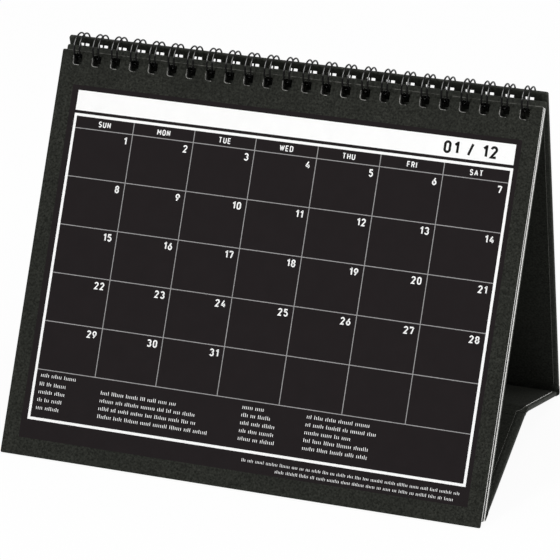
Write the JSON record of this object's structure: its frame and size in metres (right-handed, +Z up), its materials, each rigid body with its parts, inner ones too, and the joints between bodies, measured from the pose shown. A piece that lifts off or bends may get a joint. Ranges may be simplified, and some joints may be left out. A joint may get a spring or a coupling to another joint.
{
  "type": "desk calendar",
  "caption": "Tent-shaped folding desk calendar: punched date leaves hang on a twin-loop wire over a stand of wrapped boards, whose base folds up along a ridge.",
  "frame": {"origin": "centre of the footprint, on the table", "axes": "+X along the wire, -Y the printed front, +Z up"},
  "size_m": [0.21, 0.1302, 0.1598],
  "materials": {
    "printed_card": "matte",
    "leaf_card": "matte",
    "wrap_paper": "matte",
    "liner_paper": "matte",
    "grey_board": "matte",
    "black_wire": "satin"
  },
  "bodies": {
    "stand_front": {"front_core": "grey_board", "front_wrap": "wrap_paper", "front_liner": "liner_paper", "front_fold": "wrap_paper", "binding_wire": "black_wire"},
    "stand_back": {"back_core": "grey_board", "back_wrap": "wrap_paper", "back_liner": "liner_paper", "rear_fold": "wrap_paper"},
    "base_front": {"base_front_core": "grey_board", "base_front_wrap": "wrap_paper", "base_front_liner": "liner_paper", "ridge_fold": "wrap_paper"},
    "base_rear": {"base_rear_core": "grey_board", "base_rear_wrap": "wrap_paper", "base_rear_liner": "liner_paper"},
    "leaf_01": {"leaf_01": "printed_card"},
    "leaf_02": {"leaf_02": "leaf_card"},
    "leaf_03": {"leaf_03": "leaf_card"},
    "leaf_04": {"leaf_04": "leaf_card"},
    "leaf_05": {"leaf_05": "leaf_card"},
    "leaf_06": {"leaf_06": "leaf_card"},
    "leaf_07": {"leaf_07": "leaf_card"},
    "leaf_08": {"leaf_08": "leaf_card"},
    "leaf_09": {"leaf_09": "leaf_card"},
    "leaf_10": {"leaf_10": "leaf_card"},
    "leaf_11": {"leaf_11": "leaf_card"},
    "leaf_12": {"leaf_12": "leaf_card"},
    "leaf_13": {"leaf_13": "leaf_card"}
  },
  "joints": [
    {"name": "back_fold", "type": "hinge", "parent": "stand_front", "child": "stand_back", "pos_m": [0, 0.02063, 0.15417], "axis": [-1, 0, 0], "range_deg": [0, 10]},
    {"name": "base_front_fold", "type": "hinge", "parent": "stand_front", "child": "base_front", "pos_m": [0, -0.05343, 0.00362], "axis": [1, 0, 0], "range_deg": [0, 24]},
    {"name": "base_rear_fold", "type": "hinge", "parent": "base_front", "child": "base_rear", "pos_m": [0, 0.00609, 0.019], "axis": [-1, 0, 0], "range_deg": [0, 57]},
    {"name": "leaf_01_turn", "type": "hinge", "parent": "stand_front", "child": "leaf_01", "pos_m": [0, 0.02063, 0.15417], "axis": [-1, 0, 0], "range_deg": [0, 160]},
    {"name": "leaf_02_turn", "type": "hinge", "parent": "stand_front", "child": "leaf_02", "pos_m": [0, 0.02063, 0.15417], "axis": [-1, 0, 0], "range_deg": [0, 156.5]},
    {"name": "leaf_03_turn", "type": "hinge", "parent": "stand_front", "child": "leaf_03", "pos_m": [0, 0.02063, 0.15417], "axis": [-1, 0, 0], "range_deg": [0, 152.98]},
    {"name": "leaf_04_turn", "type": "hinge", "parent": "stand_front", "child": "leaf_04", "pos_m": [0, 0.02063, 0.15417], "axis": [-1, 0, 0], "range_deg": [0, 149.46]},
    {"name": "leaf_05_turn", "type": "hinge", "parent": "stand_front", "child": "leaf_05", "pos_m": [0, 0.02063, 0.15417], "axis": [-1, 0, 0], "range_deg": [0, 145.94]},
    {"name": "leaf_06_turn", "type": "hinge", "parent": "stand_front", "child": "leaf_06", "pos_m": [0, 0.02063, 0.15417], "axis": [-1, 0, 0], "range_deg": [0, 142.42]},
    {"name": "leaf_07_turn", "type": "hinge", "parent": "stand_front", "child": "leaf_07", "pos_m": [0, 0.02063, 0.15417], "axis": [-1, 0, 0], "range_deg": [0, 138.9]},
    {"name": "leaf_08_turn", "type": "hinge", "parent": "stand_front", "child": "leaf_08", "pos_m": [0, 0.02063, 0.15417], "axis": [-1, 0, 0], "range_deg": [0, 135.38]},
    {"name": "leaf_09_turn", "type": "hinge", "parent": "stand_front", "child": "leaf_09", "pos_m": [0, 0.02063, 0.15417], "axis": [-1, 0, 0], "range_deg": [0, 131.86]},
    {"name": "leaf_10_turn", "type": "hinge", "parent": "stand_front", "child": "leaf_10", "pos_m": [0, 0.02063, 0.15417], "axis": [-1, 0, 0], "range_deg": [0, 128.34]},
    {"name": "leaf_11_turn", "type": "hinge", "parent": "stand_front", "child": "leaf_11", "pos_m": [0, 0.02063, 0.15417], "axis": [-1, 0, 0], "range_deg": [0, 124.82]},
    {"name": "leaf_12_turn", "type": "hinge", "parent": "stand_front", "child": "leaf_12", "pos_m": [0, 0.02063, 0.15417], "axis": [-1, 0, 0], "range_deg": [0, 121.3]},
    {"name": "leaf_13_turn", "type": "hinge", "parent": "stand_front", "child": "leaf_13", "pos_m": [0, 0.02063, 0.15417], "axis": [-1, 0, 0], "range_deg": [0, 117.78]}
  ],
  "couplings": [
    {"joint": "base_front_fold", "follows": "back_fold", "ratio": 2.388},
    {"joint": "base_rear_fold", "follows": "back_fold", "ratio": 5.6786},
    {"joint": "leaf_02_turn", "follows": "leaf_01_turn", "ratio": 0.978},
    {"joint": "leaf_03_turn", "follows": "leaf_01_turn", "ratio": 0.956},
    {"joint": "leaf_04_turn", "follows": "leaf_01_turn", "ratio": 0.934},
    {"joint": "leaf_05_turn", "follows": "leaf_01_turn", "ratio": 0.912},
    {"joint": "leaf_06_turn", "follows": "leaf_01_turn", "ratio": 0.89},
    {"joint": "leaf_07_turn", "follows": "leaf_01_turn", "ratio": 0.868},
    {"joint": "leaf_08_turn", "follows": "leaf_01_turn", "ratio": 0.846},
    {"joint": "leaf_09_turn", "follows": "leaf_01_turn", "ratio": 0.824},
    {"joint": "leaf_10_turn", "follows": "leaf_01_turn", "ratio": 0.802},
    {"joint": "leaf_11_turn", "follows": "leaf_01_turn", "ratio": 0.78},
    {"joint": "leaf_12_turn", "follows": "leaf_01_turn", "ratio": 0.758},
    {"joint": "leaf_13_turn", "follows": "leaf_01_turn", "ratio": 0.736}
  ]
}
